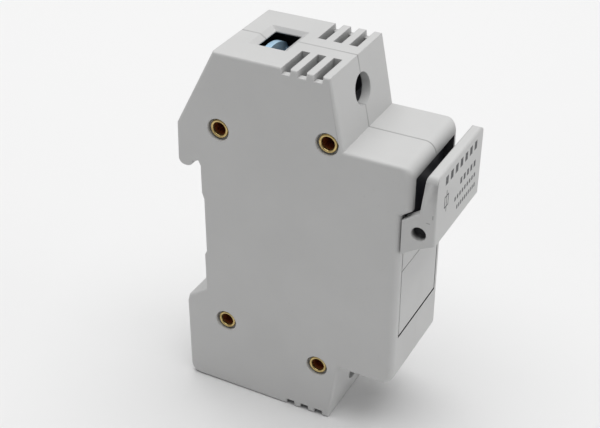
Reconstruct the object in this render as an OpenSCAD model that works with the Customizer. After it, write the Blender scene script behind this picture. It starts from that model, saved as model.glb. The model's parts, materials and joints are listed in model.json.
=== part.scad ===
// Single-pole holder for a cylindrical cartridge fuse, clipped to a 35 mm rail.
// X is the width, -Y the front with the pull handle, +Y the rail side, +Z up.
// The fuse stands upright in a swing-out carrier that is hinged at its lower front edge.

/* [Fuse] */
// Diameter of the fuse's end caps
fuse_d = 14.3; // [11:0.1:18]
// Length of the fuse over its end caps
fuse_l = 51; // [42:1:62]
// Length of each end cap
cap_l = 13.8; // [10:0.1:16]
// Wall of each end cap
cap_wall = 0.7; // [0.5:0.1:1.2]
// Wall of the ceramic tube
tube_wall = 2.4; // [1.5:0.1:3]

/* [Housing] */
// Depth from the front face to the back face
body_depth = 56.3; // [50:0.1:68]
// Height of the stepped-back ends above and below the carrier
tower_h = 16.7; // [15:0.1:20]
// How far the upper end is set back from the front face at its top
tower_setback = 17.3; // [16:0.1:22]
// How far the sloping front of the upper end leans back
slant_run = 3.3; // [2:0.1:4]
// How far the sloping front of the lower end leans back
lower_slant_run = 2.6; // [2:0.1:4]
// Width of the fuse chamber's side walls
side_wall = 2.35; // [2:0.05:4]
// Thickness of the other outer walls
wall = 2.2; // [1.8:0.1:3]
// Thickness of the nose above the carrier
nose_wall = 3.25; // [2.5:0.05:5]
// How far the nose stands in front of the front face
nose_reach = 2.2; // [1:0.1:3]
// Height of the nose's front lip
nose_h = 10.8; // [8:0.1:14]
// Run of the sloping upper back edge
back_slant_run = 10.3; // [6:0.1:12]
// Rounding of the nose, the lower shoulder and the bottom back edge
edge_r = 2.8; // [1:0.1:3.2]

/* [Rail side] */
// Height of the rail notch
notch_h = 36.5; // [36:0.1:38]
// Depth of the rail notch behind the rail seat
rail_depth = 5.9; // [5:0.1:8]
// Thickness of the fixed upper hook
hook_t = 3.9; // [3:0.1:4.5]
// How far the hook's tip hangs below the notch
hook_drop = 2.1; // [1.5:0.1:3]
// Width of the sliding rail clip
clip_w = 9; // [7:0.1:12]
// Travel of the rail clip
clip_travel = 3; // [2:0.1:3.5]

/* [Carrier] */
// Thickness of the carrier's front wall
carrier_wall = 2.2; // [1.8:0.1:3]
// Thickness of the cradle's side walls
cradle_wall = 2; // [1.5:0.1:3]
// Radius of the hinge's barrel, which is also its distance behind the front face
hinge_r = 1.6; // [1.4:0.1:2.2]
// Radius of the pivot pins
pin_r = 1.2; // [0.9:0.05:1.3]
// How far the handle plate stands in front of the front face
handle_reach = 8.1; // [6:0.1:12]
// Height of the handle plate
plate_h = 17; // [12:0.5:20]
// Thickness of the handle plate
plate_t = 2.6; // [2:0.1:4]
// Rounding of the handle plate's upper corners
plate_corner_r = 1.6; // [0.5:0.1:3]
// Radius of the sealing hole in the handle's cheeks
seal_r = 1.7; // [1:0.05:2]

/* [Contacts] */
// Thickness of the contact jaws
jaw_t = 0.8; // [0.6:0.1:1.2]
// Thickness of the terminal bar
bar_t = 1.5; // [1:0.1:2]
// Width of the terminal bar
bar_w = 8.4; // [6:0.1:9]
// Radius of the terminal screw's thread
screw_r = 2.5; // [2:0.1:3]
// Radius of the terminal screw's head
head_r = 3.4; // [3:0.1:3.6]
// Space between the bar and the cage with the screw done up
wire_gap = 4.4; // [4.2:0.1:5]
// Travel of the clamping cage
cage_travel = 3.5; // [2:0.1:3.6]
// Distance of the screw axis from the end of the housing
screw_drop = 7.8; // [7:0.1:9]

/* [Openings] */
// Radius of the screwdriver holes
access_r = 3.7; // [3.6:0.1:4.5]
// Width of the wire entry inside its lead-in
entry_w = 9.2; // [7:0.1:10]
// Length of the wire entry inside its lead-in
entry_l = 6.6; // [5:0.1:8]
// Width of each vent slot
vent_w = 2; // [1:0.1:2.5]
// Pitch of the vent slots
vent_pitch = 3.85; // [3:0.05:4]
// Radius of the rivets' recesses
recess_r = 2.75; // [2.5:0.05:4]
// Radius of the rivet tubes
rivet_r = 1.95; // [1.6:0.05:2.3]

/* [Hidden] */
$fn = 64;
eps = 0.01;

// Clearances
swing_gap = 0.3;      // between the carrier and the housing
jaw_gap = 0.1;        // between the cap and the open jaws
slide_gap = 0.3;      // around the rail clip and the cages
run_gap = 0.05;       // radial, of pins and screws in their bores

// Widths, built outwards from the fuse
fuse_r = fuse_d / 2;
jaw_in = fuse_r + jaw_gap;
jaw_out = jaw_in + jaw_t;
cradle_in = jaw_out + 0.55;
cradle_out = cradle_in + cradle_wall;
chamber_x = cradle_out + swing_gap;
half_w = chamber_x + side_wall;

// Depths, centred on the whole object from the handle plate to the back
back_y = (body_depth + handle_reach) / 2;
front_y = back_y - body_depth;
plate_y = front_y - handle_reach;
nose_y = front_y - nose_reach;
inner_front_y = front_y + carrier_wall;
fuse_y = inner_front_y + 0.35 + fuse_r;
jaw_back_y = fuse_y + fuse_r + 5.75;
jaw_front_y = fuse_y - fuse_r + 1.5;
rib_y = jaw_back_y + jaw_t + 0.4;
rib_t = 1.8;
pivot_y = front_y + hinge_r;
knuckle_r = norm([hinge_r, hinge_r]) + 0.15;
rail_y = back_y - rail_depth;
bar_y = back_y - 24.4;
tower_y = front_y + tower_setback;
slant_y = tower_y - slant_run;
lower_tower_y = slant_y + lower_slant_run;

// Heights, built upwards from the bottom through the fuse
cap_chamfer = 0.5;
fuse_z0 = tower_h + wall + swing_gap;
fuse_z1 = fuse_z0 + fuse_l;
lip_z = fuse_z0 + 9.8;
pivot_z = lip_z + swing_gap + hinge_r;
swing_r = norm([fuse_y + fuse_r - cap_chamfer - pivot_y, fuse_z1 - pivot_z]);
ceiling_z = pivot_z + swing_r + swing_gap;
shoulder_z = ceiling_z + nose_wall;
body_h = shoulder_z + tower_h;
mid_z = body_h / 2;
nose_z = shoulder_z - nose_h;
notch_z0 = mid_z - notch_h / 2 - 0.3;
notch_z1 = notch_z0 + notch_h;
hook_z = notch_z1 - hook_drop;
back_slant_z = hook_z + 10.8;
step_run = rail_depth - 0.5;
step_drop = 3.6;
seam_z = mid_z + 1.8;

// Handle
handle_z0 = seam_z + 6.2;
plate_z0 = seam_z + 10.6;
cheek_back_y = front_y - 0.2;
seal_y = cheek_back_y - 4.1;
seal_z = handle_z0 + 6.5;
plate_edge_r = 0.7;

// Terminals, for the upper end and mirrored for the lower one
bar_back_y = bar_y + bar_t;
head_y = bar_y - 12.2;
head_t = 3;
nut_t = 3;
cage_side = 1.2;
cage_w = bar_w + 2;
cage_wall = 1.5;
cage_h = 6.6;
cage_back_y = bar_back_y + wire_gap;
cage_front_y = head_y + head_t + 0.5;
screw_z = body_h - screw_drop;
bar_end_z = screw_z + 3.1;
arch_z = body_h - 2;
arch_r = 11;
entry_y = bar_back_y - 0.2;
entry_wall = 1.2;
entry_lead = [0.9, 1.5, 1];
entry_room = 1.5;

// Vents
vent_wall = 3;
vent_sill = 1.5;
vent_x = 3.75;
vent_first = 2.8;

// Rivets, each as a place on the side faces
rivet_spots = [[back_y - 11.1, body_h - 19.1], [slant_y + 3.9, shoulder_z + 0.9],
               [back_y - 11.2, tower_h + 3.45], [slant_y + 5.85, tower_h - 1.4]];
recess_d = 1.2;
rim_r = 0.36;
tube_t = 0.4;
boss_r = 4;

// Rail clip
clip_y0 = rail_y + 1.3;
clip_y1 = back_y - 0.3;
clip_z0 = 3.6;
clip_lip = 2.8;
flange_w = 1.1;
flange_y0 = clip_y0 + 1.2;
flange_t = 1.2;
window_z0 = 12;
window_z1 = 22;
window_w = 4.4;
post_h = 1.6;
post_z = window_z0 + 0.6;
spring_r = 1.6;
spring_y = (clip_y0 + clip_y1) / 2;

// An outline in the YZ plane, given thickness from x0 to x1
module slab(x0, x1) {
  translate([x0, 0, 0])
    rotate([90, 0, 90])
      linear_extrude(x1 - x0)
        children();
}

// A box between two corners
module block(low, high) {
  translate(low)
    cube(high - low);
}

module x_rod(r, x0, x1, y, z) {
  translate([x0, y, z])
    rotate([0, 90, 0])
      cylinder(r = r, h = x1 - x0);
}

module y_rod(r, y0, y1, x, z) {
  translate([x, y0, z])
    rotate([-90, 0, 0])
      cylinder(r = r, h = y1 - y0);
}

// Copy to the other side of the middle plane as well
module both_sides() {
  children();
  mirror([1, 0, 0])
    children();
}

// Turn a piece of the upper end into the lower end's
module at_lower_end() {
  translate([0, 0, body_h])
    mirror([0, 0, 1])
      children();
}

// What a rounding of radius r takes off a square corner, whose sides run in directions sy and sz
module corner_loss(y, z, sy, sz, r) {
  difference() {
    translate([y + (sy > 0 ? -eps : -r), z + (sz > 0 ? -eps : -r)])
      square(r + eps);
    translate([y + sy * r, z + sz * r])
      circle(r);
  }
}

// Outer outline of the housing, seen from the side
module housing_outline() {
  difference() {
    polygon([
      [tower_y, body_h], [slant_y, shoulder_z], [nose_y, shoulder_z],
      [nose_y, nose_z], [front_y, nose_z - 1.6], [front_y, tower_h],
      [slant_y, tower_h], [lower_tower_y, 0], [back_y, 0],
      [back_y, notch_z0 - step_drop - 1.9], [rail_y + step_run, notch_z0 - step_drop],
      [rail_y, notch_z0], [rail_y, notch_z0 + 10.4], [rail_y - 0.55, notch_z0 + 11.5],
      [rail_y - 0.55, notch_z0 + 26.3], [rail_y, notch_z0 + 28],
      [rail_y, notch_z1 - 1.2], [rail_y + 0.6, notch_z1], [back_y - hook_t, notch_z1 - 0.7],
      [back_y - hook_t, hook_z], [back_y, hook_z],
      [back_y, back_slant_z], [back_y - back_slant_run, body_h]]);
    corner_loss(nose_y, shoulder_z, 1, -1, edge_r);
    corner_loss(front_y, tower_h, 1, 1, edge_r);
    corner_loss(back_y, 0, -1, 1, edge_r);
    corner_loss(back_y, hook_z, -1, 1, 1.7);
    corner_loss(back_y - hook_t, hook_z, 1, 1, 1.7);
  }
}

// Outline of the space inside, up to back_limit
module cavity_outline(back_limit) {
  intersection() {
    polygon([
      [tower_y + 1.6, body_h - wall], [slant_y + wall, shoulder_z], [slant_y + wall, ceiling_z],
      [inner_front_y, ceiling_z], [inner_front_y, tower_h + wall],
      [slant_y + wall, tower_h + wall], [lower_tower_y + wall, wall],
      [back_y - wall, wall], [back_y - wall, notch_z0 - step_drop - 2.6],
      [rail_y - wall, notch_z0 - 2.4], [rail_y - wall, notch_z1 + 1.6],
      [back_y - wall, notch_z1 + 4], [back_y - wall, back_slant_z - 0.5],
      [back_y - back_slant_run - 1.4, body_h - wall]]);
    translate([-back_y, 0])
      square([back_y + back_limit, body_h]);
  }
}

// Wire entry, which widens towards the outside, and the room behind it in which the wall is thin
module wire_entry() {
  mid_y = entry_y + entry_l / 2;
  lead_z = body_h - entry_lead[2];
  far_y = cage_back_y + cage_wall + cage_travel + slide_gap;
  block([-entry_w / 2, entry_y, lead_z - 1], [entry_w / 2, entry_y + entry_l, lead_z + eps]);
  block([-entry_w / 2 - entry_room, entry_y - entry_room, body_h - wall - 1],
        [entry_w / 2 + entry_room, far_y, body_h - entry_wall]);
  intersection() {
    translate([0, mid_y, lead_z])
      rotate([90, 0, 0])
        linear_extrude(entry_l * 2, center = true)
          lead_outline(entry_w / 2, entry_lead[0]);
    translate([0, mid_y, lead_z])
      slab(-entry_w, entry_w)
        lead_outline(entry_l / 2, entry_lead[1]);
  }
}

// Cross-section of the lead-in, going out by run on each side
module lead_outline(half, run) {
  polygon([[-half, 0], [half, 0], [half + 2 * run, 2 * entry_lead[2]],
           [-half - 2 * run, 2 * entry_lead[2]]]);
}

// The three vent slots of one half, at the upper end
module vents(first_y) {
  for (i = [0:2]) {
    y = first_y + vent_first + i * vent_pitch;
    block([vent_x, y - vent_w / 2, body_h - vent_sill], [half_w + 1, y + vent_w / 2, body_h + 1]);
    block([vent_x, y - vent_w / 2, body_h - vent_wall - 1],
          [half_w - 1.6, y + vent_w / 2, body_h + 1]);
  }
}

// Thicker wall that the vent slots of one half pass through
module vent_ceiling(first_y) {
  block([0, first_y, body_h - vent_wall],
        [chamber_x + eps, entry_y - entry_room - 1.8, body_h - wall + eps]);
}

// Ribs that carry the contacts
module contact_ribs() {
  block([0, rib_y, fuse_z0 + 2.2], [chamber_x + eps, rib_y + rib_t, fuse_z1 - 2.2]);
  block([0, rib_y, fuse_z1 - 3.7], [chamber_x + eps, bar_y - 0.3, fuse_z1 - 2.2]);
  block([0, rib_y, fuse_z0 + 2.2], [chamber_x + eps, bar_y - 0.3, fuse_z0 + 3.7]);
}

// Everything that is cut from the right half after its ribs and bosses are in
module housing_cuts() {
  block([-eps, nose_y - 1, lip_z], [chamber_x, inner_front_y + eps, ceiling_z]);
  x_rod(knuckle_r, -eps, chamber_x, pivot_y, pivot_z);
  y_rod(access_r, plate_y, head_y, 0, screw_z);
  wire_entry();
  vents(tower_y);
  at_lower_end() {
    y_rod(access_r, plate_y, head_y, 0, screw_z);
    wire_entry();
    vents(lower_tower_y);
  }
  for (spot = rivet_spots) {
    x_rod(rivet_r + run_gap, -eps, half_w + 1, spot[0], spot[1]);
    x_rod(recess_r, half_w - recess_d, half_w + 1, spot[0], spot[1]);
  }
  x_rod(pin_r + run_gap, chamber_x - 1, chamber_x + 1.7, pivot_y, pivot_z);
}

// Channel of the rail clip, with its side grooves and the post for its spring
module clip_channel() {
  channel_x = clip_w / 2 + slide_gap;
  difference() {
    union() {
      block([-eps, clip_y0 - slide_gap, -1], [channel_x, back_y + 1, notch_z0 + 1]);
      block([-eps, flange_y0 - slide_gap, -1],
            [channel_x + flange_w, flange_y0 + flange_t + slide_gap, notch_z0 + 1]);
    }
    block([-1, clip_y0 - 1, post_z], [window_w / 2 - slide_gap, clip_y1 - 0.6, post_z + post_h]);
  }
}

// The right half of the housing
module half_shell() {
  difference() {
    slab(0, half_w)
      housing_outline();
    difference() {
      union() {
        slab(-1, chamber_x)
          cavity_outline(rail_y - wall + 1);
        slab(clip_w / 2 + slide_gap + flange_w + 1.5, chamber_x)
          cavity_outline(back_y);
      }
      for (spot = rivet_spots)
        x_rod(boss_r, -1, chamber_x + 1, spot[0], spot[1]);
      contact_ribs();
      vent_ceiling(slant_y);
      at_lower_end()
        vent_ceiling(slant_y);
    }
    housing_cuts();
    clip_channel();
  }
}

module right_shell() {
  color([0.84, 0.84, 0.83])
    half_shell();
}

module left_shell() {
  color([0.84, 0.84, 0.83])
    mirror([1, 0, 0])
      half_shell();
}

// One hollow rivet with a rolled rim at each end
module hollow_rivet() {
  reach = half_w - recess_d;
  rotate([0, 90, 0])
    rotate_extrude()
      difference() {
        union() {
          translate([rivet_r - tube_t, -reach - rim_r])
            square([tube_t, 2 * (reach + rim_r)]);
          for (end = [-1, 1])
            translate([rivet_r, end * (reach + rim_r)])
              circle(rim_r);
        }
        translate([0, -2 * half_w])
          square([rivet_r - tube_t, 4 * half_w]);
      }
}

module hollow_rivets() {
  color([0.72, 0.6, 0.3])
    for (spot = rivet_spots)
      translate([0, spot[0], spot[1]])
        hollow_rivet();
}

// Jaws, web and bent tail of one contact, with end_z as the fuse's upper end and
// tip_z as the free end of its terminal bar
module contact(end_z, tip_z) {
  jaw_z1 = end_z - 0.7;
  jaw_z0 = jaw_z1 - 11.5;
  tail_z = end_z - 2.2;
  both_sides()
    block([jaw_in, jaw_front_y, jaw_z0], [jaw_out, jaw_back_y + jaw_t, jaw_z1]);
  block([-jaw_out, jaw_back_y, jaw_z0], [jaw_out, jaw_back_y + jaw_t, jaw_z1]);
  block([-bar_w / 2, jaw_back_y, tail_z], [bar_w / 2, bar_back_y, jaw_z1]);
  block([-bar_w / 2, bar_y, tail_z], [bar_w / 2, bar_back_y, tip_z]);
}

module upper_contact() {
  color([0.75, 0.5, 0.36])
    contact(fuse_z1, bar_end_z);
}

module lower_contact() {
  color([0.75, 0.5, 0.36])
    at_lower_end()
      contact(body_h - fuse_z0, bar_end_z);
}

// Steel spring that hugs the roots of one contact's jaws
module contact_spring(end_z) {
  leg_t = 0.4;
  low = end_z - 10.5;
  high = end_z - 2.7;
  web_y = jaw_back_y + jaw_t;
  both_sides()
    block([jaw_out, fuse_y + 6, low], [jaw_out + leg_t, web_y + leg_t, high]);
  block([-jaw_out - leg_t, web_y, low], [jaw_out + leg_t, web_y + leg_t, high]);
}

module upper_contact_spring() {
  color([0.7, 0.72, 0.75])
    contact_spring(fuse_z1);
}

module lower_contact_spring() {
  color([0.7, 0.72, 0.75])
    at_lower_end()
      contact_spring(body_h - fuse_z0);
}

// Rectangular cage that pulls the wire against the bar, with an arched far wall
module cage() {
  z0 = screw_z - cage_h / 2;
  z1 = screw_z + cage_h / 2 - 0.4;
  in_x = cage_w / 2;
  out_x = in_x + cage_side;
  difference() {
    block([-out_x, cage_front_y, z0], [out_x, cage_back_y + cage_wall, z1]);
    block([-in_x, cage_front_y + nut_t, z0 - 1], [in_x, cage_back_y, z1 + 1]);
    y_rod(screw_r + run_gap, cage_front_y - 1, cage_front_y + nut_t + 1, 0, screw_z);
  }
  intersection() {
    block([-out_x, cage_back_y, z1 - eps], [out_x, cage_back_y + cage_wall, arch_z]);
    y_rod(arch_r, cage_back_y - 1, cage_back_y + cage_wall + 1, 0, arch_z - arch_r);
  }
}

module upper_terminal_cage() {
  color([0.6, 0.66, 0.72])
    cage();
}

module lower_terminal_cage() {
  color([0.6, 0.66, 0.72])
    at_lower_end()
      cage();
}

// Terminal screw with a crossed slot in its head
module terminal_screw() {
  slot_w = 1.1;
  slot_d = 1.4;
  difference() {
    union() {
      y_rod(head_r, head_y, head_y + head_t, 0, screw_z);
      y_rod(screw_r, head_y + head_t - eps, bar_y - 0.1, 0, screw_z);
    }
    block([-head_r - 1, head_y - 1, screw_z - slot_w / 2],
          [head_r + 1, head_y + slot_d, screw_z + slot_w / 2]);
    block([-slot_w / 2, head_y - 1, screw_z - head_r * 0.6],
          [slot_w / 2, head_y + slot_d, screw_z + head_r * 0.6]);
  }
}

module upper_terminal_screw() {
  color([0.66, 0.68, 0.7])
    terminal_screw();
}

module lower_terminal_screw() {
  color([0.66, 0.68, 0.7])
    at_lower_end()
      terminal_screw();
}

// Sliding clip whose lip goes behind the rail's lower edge
module rail_clip() {
  tip_z = notch_z0 + clip_lip;
  color([0.84, 0.84, 0.83])
    difference() {
      union() {
        slab(-clip_w / 2, clip_w / 2)
          polygon([[clip_y0, clip_z0], [clip_y1, clip_z0], [clip_y1, notch_z0 - step_drop - 1],
                   [clip_y0 + 2.6, notch_z0 - 1.4], [clip_y0 + 2.6, tip_z - 1.8],
                   [clip_y0 + 1.2, tip_z], [clip_y0, tip_z]]);
        block([-clip_w / 2 - flange_w, flange_y0, clip_z0],
              [clip_w / 2 + flange_w, flange_y0 + flange_t, notch_z0 - 4]);
      }
      block([-window_w / 2, clip_y0 - 1, window_z0], [window_w / 2, clip_y1 + 1, window_z1]);
      block([-window_w / 2, clip_y0 - 1, clip_z0 + 2.2], [window_w / 2, clip_y1 + 1, clip_z0 + 4.8]);
    }
}

// Sleeve with the outer shape of the rail clip's coil spring
module rail_clip_spring() {
  low = post_z + post_h;
  color([0.7, 0.72, 0.75])
    translate([0, spring_y, low])
      difference() {
        cylinder(r = spring_r, h = window_z1 - low);
        translate([0, 0, -1])
          cylinder(r = spring_r - 0.5, h = window_z1 - low + 2);
      }
}

// Lower front panel of the carrier, with the hinge's barrel behind its lower edge and a
// groove along its upper one
module carrier_front() {
  color([0.86, 0.86, 0.85])
    difference() {
      union() {
        block([-cradle_out, front_y, pivot_z - hinge_r], [cradle_out, inner_front_y, seam_z]);
        x_rod(hinge_r, -cradle_out, cradle_out, pivot_y, pivot_z);
      }
      both_sides()
        x_rod(pin_r, cradle_in, cradle_out + 1, pivot_y, pivot_z);
      block([-cradle_in, inner_front_y, pivot_z - 3], [cradle_in, inner_front_y + 3, pivot_z + 3]);
      block([-half_w, front_y - 1, seam_z - 0.2], [half_w, front_y + 0.5, seam_z + 1]);
    }
}

// Two stub pins, pressed into the carrier and free to turn in the housing
module pivot_pins() {
  color([0.7, 0.72, 0.75])
    both_sides()
      x_rod(pin_r, cradle_in, chamber_x + 1.55, pivot_y, pivot_z);
}

// Side outline of the handle's cheeks
module cheek_outline() {
  plate_back_y = plate_y + plate_t;
  polygon([[cheek_back_y, handle_z0 - 0.1], [cheek_back_y, handle_z0 + 8.8],
           [cheek_back_y - 4, handle_z0 + 11.5], [plate_back_y, plate_z0 + plate_h - 0.1],
           [plate_y, plate_z0 + plate_h], [plate_y, plate_z0 - 0.2],
           [plate_y + 0.75, handle_z0 + 3.9], [cheek_back_y - 3.8, handle_z0 + 2.3]]);
}

// Side outline of the web that joins the finger plate to the front panel
module web_outline() {
  polygon([[front_y + eps, handle_z0 + 0.3], [front_y + eps, handle_z0 + 3.6],
           [plate_y + plate_t, plate_z0 + 0.3], [plate_y, plate_z0 - 0.2],
           [plate_y + 0.75, handle_z0 + 3.9], [cheek_back_y - 3.8, handle_z0 + 2.3]]);
}

// Side outline of the finger plate, with rounded upper edges
module plate_outline() {
  top_z = plate_z0 + plate_h;
  plate_back_y = plate_y + plate_t;
  difference() {
    polygon([[plate_y, plate_z0 - 0.2], [plate_y, top_z], [plate_back_y, top_z],
             [plate_back_y, plate_z0 + 0.3]]);
    corner_loss(plate_y, top_z, 1, -1, plate_edge_r);
    corner_loss(plate_back_y, top_z, -1, -1, plate_edge_r);
  }
}

// Pull handle: upper front panel, two cheeks, the finger plate and the web below it
module handle() {
  color([0.86, 0.86, 0.85])
    difference() {
      union() {
        block([-cradle_out, front_y, seam_z], [cradle_out, inner_front_y, handle_z0 + 3.6]);
        slab(-cradle_out, cradle_out)
          web_outline();
        slab(-half_w, half_w)
          plate_outline();
        both_sides()
          slab(cradle_out, half_w)
            intersection() {
              cheek_outline();
              translate([plate_y - 1, 0])
                square([2 * back_y, plate_z0 + plate_h - plate_edge_r]);
            }
      }
      both_sides()
        translate([0, front_y, 0])
          rotate([90, 0, 0])
            linear_extrude(handle_reach + 1)
              corner_loss(half_w, plate_z0 + plate_h, -1, -1, plate_corner_r);
      x_rod(seal_r, -half_w - 1, half_w + 1, seal_y, seal_z);
      x_rod(seal_r + 0.3, -cradle_out, cradle_out, seal_y, seal_z);
    }
}

// Dark cradle behind the front panels: side walls, saddle for the fuse and top wall
module fuse_cradle() {
  low = pivot_z + hinge_r + 0.2;
  wall_back_y = fuse_y + 5.4;
  front_z = handle_z0 + 3.6;
  color([0.16, 0.17, 0.2])
    difference() {
      intersection() {
        union() {
          both_sides()
            block([cradle_in, inner_front_y, low], [cradle_out, wall_back_y, ceiling_z]);
          block([-cradle_in - eps, inner_front_y, fuse_z0 + cap_l + 2],
                [cradle_in + eps, fuse_y + 2.4, fuse_z1 - cap_l - 2]);
          block([-cradle_out, front_y, front_z], [cradle_out, inner_front_y, ceiling_z]);
          block([-cradle_in - eps, inner_front_y - eps, fuse_z1 + 0.4],
                [cradle_in + eps, fuse_y + fuse_r, ceiling_z]);
        }
        x_rod(swing_r, -half_w, half_w, pivot_y, pivot_z);
      }
      translate([0, fuse_y, fuse_z0])
        cylinder(r = fuse_r + 0.05, h = fuse_l);
    }
}

// Ceramic tube of the fuse, turned down under its caps
module fuse_body() {
  color([0.93, 0.92, 0.88])
    translate([0, fuse_y, fuse_z0 + cap_wall])
      difference() {
        cylinder(r = fuse_r - cap_wall, h = fuse_l - 2 * cap_wall);
        translate([0, 0, -1])
          cylinder(r = fuse_r - cap_wall - tube_wall, h = fuse_l);
      }
}

// Plated cap with its closed end at the bottom
module fuse_cap() {
  difference() {
    union() {
      cylinder(r1 = fuse_r - cap_chamfer, r2 = fuse_r, h = cap_chamfer);
      translate([0, 0, cap_chamfer])
        cylinder(r = fuse_r, h = cap_l - cap_chamfer);
    }
    translate([0, 0, cap_wall])
      cylinder(r = fuse_r - cap_wall, h = cap_l);
  }
}

module fuse_cap_lower() {
  color([0.78, 0.78, 0.76])
    translate([0, fuse_y, fuse_z0])
      fuse_cap();
}

module fuse_cap_upper() {
  color([0.78, 0.78, 0.76])
    translate([0, fuse_y, fuse_z1])
      mirror([0, 0, 1])
        fuse_cap();
}

// Notched silver strip along the middle of the fuse
module element_strip(extra) {
  strip_w = 5;
  strip_t = 0.4;
  notches = 5;
  step = (fuse_l - 2 * cap_wall) / (notches + 1);
  difference() {
    block([-strip_w / 2 - extra, fuse_y - strip_t / 2 - extra, fuse_z0 + cap_wall],
          [strip_w / 2 + extra, fuse_y + strip_t / 2 + extra, fuse_z1 - cap_wall]);
    if (extra == 0)
      for (i = [1:notches])
        both_sides()
          y_rod(0.9, fuse_y - 1, fuse_y + 1, strip_w / 2, fuse_z0 + cap_wall + i * step);
  }
}

module fuse_element() {
  color([0.85, 0.85, 0.87])
    element_strip(0);
}

// Quartz sand that fills the tube around the strip
module fuse_sand() {
  color([0.8, 0.74, 0.62])
    difference() {
      translate([0, fuse_y, fuse_z0 + cap_wall])
        cylinder(r = fuse_r - cap_wall - tube_wall - 0.02, h = fuse_l - 2 * cap_wall);
      translate([0, 0, -eps])
        element_strip(0.05);
      translate([0, 0, eps])
        element_strip(0.05);
    }
}

left_shell();
right_shell();
hollow_rivets();
upper_contact();
lower_contact();
upper_contact_spring();
lower_contact_spring();
upper_terminal_cage();
lower_terminal_cage();
upper_terminal_screw();
lower_terminal_screw();
rail_clip();
rail_clip_spring();
carrier_front();
handle();
fuse_cradle();
pivot_pins();
fuse_body();
fuse_cap_upper();
fuse_cap_lower();
fuse_element();
fuse_sand();
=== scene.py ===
"""Single-pole cartridge fuse holder: finished pieces, materials, light and camera."""
import json
import math

import bmesh
import bpy
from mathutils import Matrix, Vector


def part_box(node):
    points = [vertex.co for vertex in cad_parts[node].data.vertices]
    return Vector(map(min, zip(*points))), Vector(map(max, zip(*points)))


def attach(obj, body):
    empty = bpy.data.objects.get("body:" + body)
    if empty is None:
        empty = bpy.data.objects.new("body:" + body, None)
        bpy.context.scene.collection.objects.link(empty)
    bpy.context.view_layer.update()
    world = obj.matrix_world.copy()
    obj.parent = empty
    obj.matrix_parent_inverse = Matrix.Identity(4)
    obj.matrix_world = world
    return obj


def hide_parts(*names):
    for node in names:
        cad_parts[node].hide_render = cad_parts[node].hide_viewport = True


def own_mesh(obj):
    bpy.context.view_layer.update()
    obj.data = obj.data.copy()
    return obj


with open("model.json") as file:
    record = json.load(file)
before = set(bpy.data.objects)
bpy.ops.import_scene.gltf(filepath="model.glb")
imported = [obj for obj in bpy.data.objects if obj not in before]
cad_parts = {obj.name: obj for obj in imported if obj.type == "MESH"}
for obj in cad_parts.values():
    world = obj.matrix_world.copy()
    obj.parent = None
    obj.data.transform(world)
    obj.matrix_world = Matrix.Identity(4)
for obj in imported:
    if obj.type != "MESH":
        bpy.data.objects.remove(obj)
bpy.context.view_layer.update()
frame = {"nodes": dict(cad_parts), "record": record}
NODES = frame["nodes"]

MM = 0.001
CLOSE = 0.02 * MM


# ---------------------------------------------------------------- places taken from the frame

def rivet_spots():
    """Where the four rivets stand in a housing half's side face, as (y, z)."""
    bm = bmesh.new()
    bm.from_mesh(NODES["hollow_rivets"].data)
    groups = []
    for vert in bm.verts:
        here = Vector((vert.co.y, vert.co.z))
        near = [group for group in groups if (group[0] - here).length < 8 * MM]
        if near:
            near[0].append(here)
        else:
            groups.append([here])
    bm.free()
    spots = []
    for group in groups:
        ys = [here.x for here in group]
        zs = [here.y for here in group]
        spots.append(Vector(((min(ys) + max(ys)) / 2, (min(zs) + max(zs)) / 2)))
    return spots


HOUSING_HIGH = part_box("right_shell")[1]
HANDLE_LOW, HANDLE_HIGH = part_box("handle")
FRONT_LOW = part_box("carrier_front")[0]
SCREW_LOW, SCREW_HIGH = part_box("upper_terminal_screw")
MOUNTS = {mount["name"]: mount for mount in frame["record"]["mounts"]}

HALF_W = HOUSING_HIGH.x
TOP_Z = HOUSING_HIGH.z
FRONT_Y = FRONT_LOW.y
PLATE_Y = HANDLE_LOW.y
PLATE_TOP = HANDLE_HIGH.z
CHAMBER_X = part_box("fuse_cradle")[1].x + 0.3 * MM
SEAL = Vector(MOUNTS["seal_hole"]["pos_m"][1:])
RIVETS = rivet_spots()

NOSE_LOW = HANDLE_LOW.z + 15 * MM          # the housing's nose starts behind the plate
NOSE_HIGH = PLATE_TOP + 2 * MM
RAIL_Y = HOUSING_HIGH.y - 5.9 * MM         # floor of the rail notch
NOTCH_LOW, NOTCH_HIGH = 27 * MM, 65 * MM
SCREW_Z = (SCREW_LOW.z + SCREW_HIGH.z) / 2
HEAD_Y = SCREW_LOW.y
ACCESS_R = 3.7 * MM
VENT_LOW, VENT_HIGH = HEAD_Y - 3 * MM, HEAD_Y + 10.5 * MM
VENT_DEEP = 3 * MM
ENTRY_DEEP = 1.25 * MM

SLOT_Z = FRONT_LOW.z + 0.55 * MM           # the dark slot below the carrier
LIP_DROP = 0.22 * MM
EDGE_RISE = 0.33 * MM
LIP_GAP = 0.3 * MM                         # between lip and carrier in the frame

SIDE_R = 0.85 * MM                         # round the housing's side faces
NOSE_MORE_R = 1.05 * MM                    # added where they meet the nose's front
FRONT_MORE_R = 0.65 * MM                   # added lower down, clear of the pivot holes
SEAM_R = 0.2 * MM


# ---------------------------------------------------------------- camera

def make_camera():
    """A long lens, looking down on the left side and the front."""
    data = bpy.data.cameras.new("camera")
    data.lens = 73.3
    data.sensor_width = 36.0
    data.clip_start = 0.01
    data.clip_end = 20.0
    camera = bpy.data.objects.new("camera", data)
    camera.location = Vector((-218.48, -107.13, 206.33)) * MM
    forward = Vector((0.74589, 0.39027, -0.53976))
    camera.rotation_mode = "QUATERNION"
    camera.rotation_quaternion = forward.to_track_quat("-Z", "Y")
    bpy.context.scene.collection.objects.link(camera)
    bpy.context.scene.camera = camera
    return camera


# ---------------------------------------------------------------- node helpers

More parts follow.
